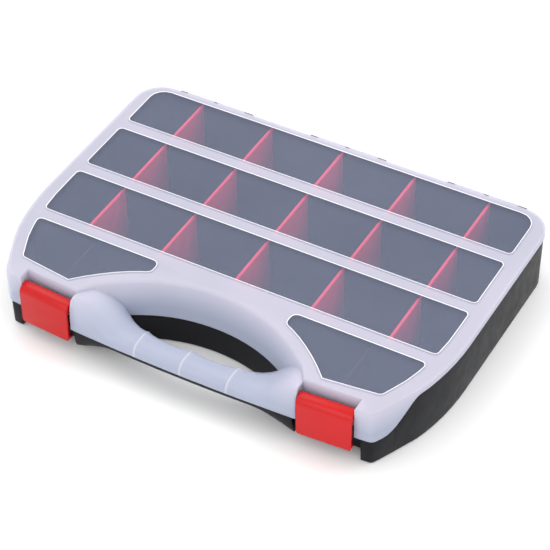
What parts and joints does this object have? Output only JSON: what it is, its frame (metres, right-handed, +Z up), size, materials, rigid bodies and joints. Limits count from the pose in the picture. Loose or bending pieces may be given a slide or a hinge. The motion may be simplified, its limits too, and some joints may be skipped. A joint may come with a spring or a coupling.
{
  "type": "parts organizer",
  "caption": "Flat carry case with a clear hinged lid, rows of compartments with removable dividers, a built-in front handle and snap latches.",
  "frame": {"origin": "centre of the bounding box's bottom face, on the surface the case lies on", "axes": "+X along the length, +Y from the handle to the hinges, +Z up through the lid"},
  "size_m": [0.38, 0.278, 0.057],
  "materials": {
    "tray_black": "fine-textured black moulded plastic",
    "lid_frosted": "clear windows and frosted bands in one translucent moulding",
    "divider_red": "smooth red moulded plastic",
    "latch_red": "satin red moulded plastic"
  },
  "bodies": {
    "tray": {"base_tray": "tray_black", "divider_row1_1": "divider_red", "divider_row1_2": "divider_red", "divider_row1_3": "divider_red", "divider_row1_4": "divider_red", "divider_row1_5": "divider_red", "divider_row2_1": "divider_red", "divider_row2_2": "divider_red", "divider_row2_3": "divider_red", "divider_row2_4": "divider_red", "divider_row2_5": "divider_red", "divider_row3_1": "divider_red", "divider_row3_2": "divider_red", "divider_row3_3": "divider_red", "divider_row3_4": "divider_red", "divider_row3_5": "divider_red"},
    "lid": {"lid": "lid_frosted"},
    "latch_left": {"latch_left": "latch_red"},
    "latch_right": {"latch_right": "latch_red"}
  },
  "joints": [
    {"name": "lid_hinge", "type": "hinge", "parent": "tray", "child": "lid", "pos_m": [0, 0.1338, 0.0475], "axis": [-1, 0, 0], "range_deg": [0, 110]},
    {"name": "latch_left_pivot", "type": "hinge", "parent": "lid", "child": "latch_left", "pos_m": [-0.123, -0.12914, 0.0455], "axis": [-0.998, 0.0626, 0], "range_deg": [0, 100]},
    {"name": "latch_right_pivot", "type": "hinge", "parent": "lid", "child": "latch_right", "pos_m": [0.123, -0.12914, 0.0455], "axis": [-0.998, -0.0626, 0], "range_deg": [0, 100]}
  ]
}
